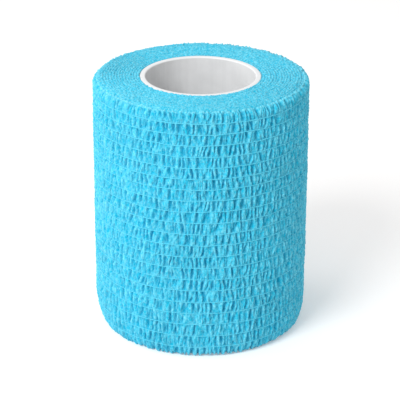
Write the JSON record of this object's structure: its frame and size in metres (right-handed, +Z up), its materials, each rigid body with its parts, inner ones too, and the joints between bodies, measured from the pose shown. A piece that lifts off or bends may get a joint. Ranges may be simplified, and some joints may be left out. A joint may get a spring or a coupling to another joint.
{
  "type": "cohesive bandage roll",
  "caption": "Roll of crinkled stretch bandage that sticks to itself, wound on an open white tube and standing on one end.",
  "frame": {"origin": "centre of the roll's foot, on the surface it stands on", "axes": "+Z up the roll's axis; +X to the right and +Y away from the front view"},
  "size_m": [0.0622, 0.0622, 0.075],
  "materials": {
    "blue_crepe": "matt crinkled nonwoven with elastic threads, cyan blue",
    "white_tube": "smooth white, satin"
  },
  "bodies": {
    "root": {"wound_cloth": "blue_crepe", "core_tube": "white_tube"}
  },
  "joints": []
}
